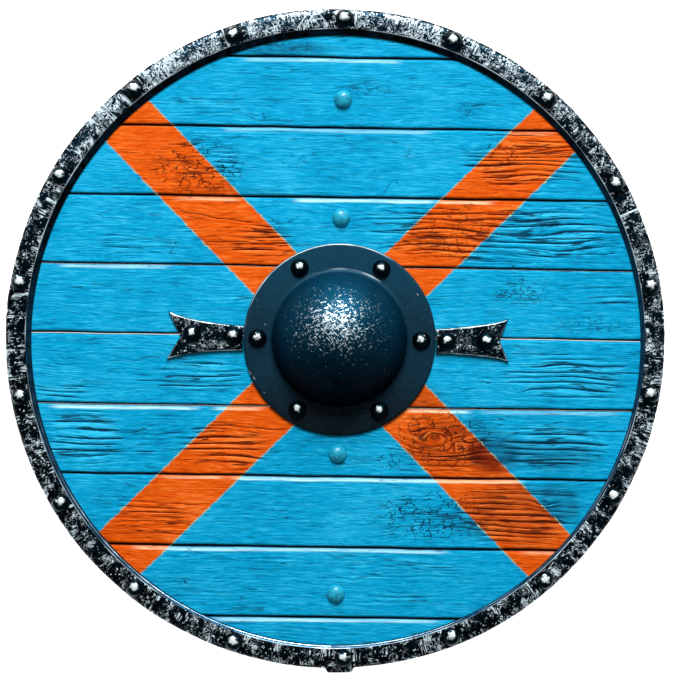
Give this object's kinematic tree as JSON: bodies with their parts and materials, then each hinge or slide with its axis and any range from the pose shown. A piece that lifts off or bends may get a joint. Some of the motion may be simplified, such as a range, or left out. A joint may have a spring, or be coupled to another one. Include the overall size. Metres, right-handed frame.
{
  "type": "wooden round shield",
  "caption": "Round shield of painted planks with a diagonal cross, in an iron rim, with a hollow domed boss over the hand hole, fishtail straps and a wooden grip behind.",
  "frame": {"origin": "under the centre of the disc, on the plane the shield lies on", "axes": "+Z the way the painted front faces, +Y the shield's top, +X its right seen from the front"},
  "size_m": [0.61, 0.6144, 0.078],
  "materials": {
    "painted_wood": "worn blue paint with a bright orange diagonal cross over cracked, rippled planks",
    "blackened_iron": "hammered and blackened, rubbed bright on the high spots",
    "painted_iron": "the planks' blue paint over domed rivet heads, a little greener and worn",
    "bare_wood": "bare oiled wood, darkened by the hand at the grip"
  },
  "bodies": {
    "root": {"plank_1": "painted_wood", "plank_2": "painted_wood", "plank_3": "painted_wood", "plank_4": "painted_wood", "plank_5": "painted_wood", "plank_6": "painted_wood", "plank_7": "painted_wood", "plank_8": "painted_wood", "plank_9": "painted_wood", "plank_10": "painted_wood", "rim": "blackened_iron", "boss": "blackened_iron", "strap_left": "blackened_iron", "strap_right": "blackened_iron", "rim_rivet_01": "blackened_iron", "rim_rivet_02": "blackened_iron", "rim_rivet_03": "blackened_iron", "rim_rivet_04": "blackened_iron", "rim_rivet_05": "blackened_iron", "rim_rivet_06": "blackened_iron", "rim_rivet_07": "blackened_iron", "rim_rivet_08": "blackened_iron", "rim_rivet_09": "blackened_iron", "rim_rivet_10": "blackened_iron", "rim_rivet_11": "blackened_iron", "rim_rivet_12": "blackened_iron", "rim_rivet_13": "blackened_iron", "rim_rivet_14": "blackened_iron", "rim_rivet_15": "blackened_iron", "rim_rivet_16": "blackened_iron", "rim_rivet_17": "blackened_iron", "rim_rivet_18": "blackened_iron", "boss_rivet_1": "blackened_iron", "boss_rivet_2": "blackened_iron", "boss_rivet_3": "blackened_iron", "boss_rivet_4": "blackened_iron", "boss_rivet_5": "blackened_iron", "boss_rivet_6": "blackened_iron", "strap_left_rivet_1": "blackened_iron", "strap_left_rivet_2": "blackened_iron", "strap_right_rivet_1": "blackened_iron", "strap_right_rivet_2": "blackened_iron", "grip_rivet_1": "painted_iron", "grip_rivet_2": "painted_iron", "grip_rivet_3": "painted_iron", "grip_rivet_4": "painted_iron", "grip": "bare_wood"}
  },
  "joints": []
}
